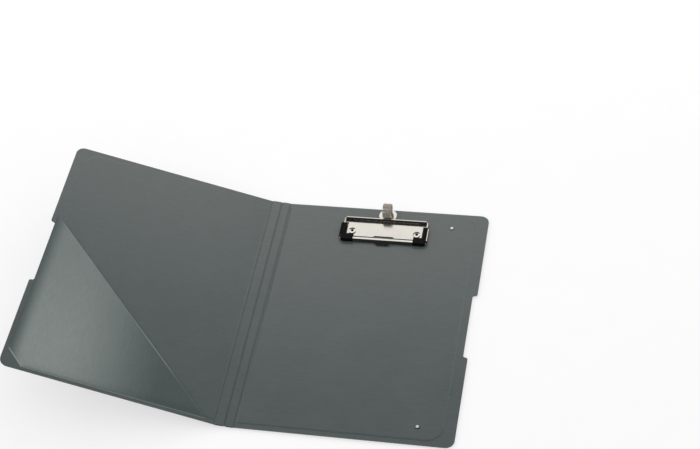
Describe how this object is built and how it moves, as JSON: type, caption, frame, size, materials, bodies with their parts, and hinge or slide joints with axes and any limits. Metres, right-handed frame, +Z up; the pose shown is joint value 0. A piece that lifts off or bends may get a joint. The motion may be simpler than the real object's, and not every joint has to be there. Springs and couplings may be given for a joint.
{
  "type": "clipboard folder",
  "caption": "Folding clipboard cover with a wire clip, spring pen loop, elastic closure and corner pocket; covers fold at creases along a strip spine.",
  "frame": {"origin": "middle of the opened folder's footprint, at the surface that it lies on", "axes": "+X from the front cover to the back cover, +Y from the bottom edge to the clip's edge, +Z up"},
  "size_m": [0.474, 0.318, 0.0779],
  "materials": {
    "outer_foil": "fine linen grain",
    "inner_foil": "fine linen grain",
    "core_board": "grey board",
    "pocket_foil": "fine linen grain",
    "nickel_sheet": "bright nickel plate",
    "nickel_wire": "bright nickel plate",
    "spring_wire": "drawn wire",
    "cap_rubber": "matt black",
    "elastic_cord": "woven"
  },
  "bodies": {
    "back_cover": {"back_outer_foil": "outer_foil", "back_core_board": "core_board", "back_inner_foil": "inner_foil", "clip_base_plate": "nickel_sheet", "clip_rivets": "nickel_sheet", "pen_loop_base": "nickel_sheet", "pen_loop_spring": "spring_wire", "pen_loop_saddle": "nickel_sheet", "pen_loop_rivet": "nickel_sheet", "elastic_eyelets": "nickel_sheet", "elastic_band": "elastic_cord", "elastic_stops": "nickel_sheet"},
    "spine_back": {"spine_back_outer_foil": "outer_foil", "spine_back_core_strip": "core_board", "spine_back_inner_foil": "inner_foil"},
    "spine_front": {"spine_front_outer_foil": "outer_foil", "spine_front_core_strip": "core_board", "spine_front_inner_foil": "inner_foil"},
    "front_cover": {"front_outer_foil": "outer_foil", "front_core_board": "core_board", "front_inner_foil": "inner_foil", "corner_pocket": "pocket_foil"},
    "clip_lever": {"clip_wire_bail": "nickel_wire", "clip_jaw": "nickel_sheet", "clip_cap_left": "cap_rubber", "clip_cap_right": "cap_rubber"}
  },
  "joints": [
    {"name": "crease_back", "type": "hinge", "parent": "back_cover", "child": "spine_back", "pos_m": [0.00701, 0, 0.00235], "axis": [0, 1, 0], "range_deg": [-81.5, 68.5]},
    {"name": "crease_middle", "type": "hinge", "parent": "spine_back", "child": "spine_front", "pos_m": [-0.00293, 0, 0.00348], "axis": [0, 1, 0], "range_deg": [-30.5, 29.5]},
    {"name": "crease_front", "type": "hinge", "parent": "spine_front", "child": "front_cover", "pos_m": [-0.01434, 0, 0.00488], "axis": [0, 1, 0], "range_deg": [-86, 64]},
    {"name": "clip_open", "type": "hinge", "parent": "back_cover", "child": "clip_lever", "pos_m": [0.12241, 0.14, 0.00575], "axis": [-1, 0, 0], "range_deg": [0, 22], "stiffness_Nm_per_rad": 0.8, "springref_deg": -22.92}
  ]
}
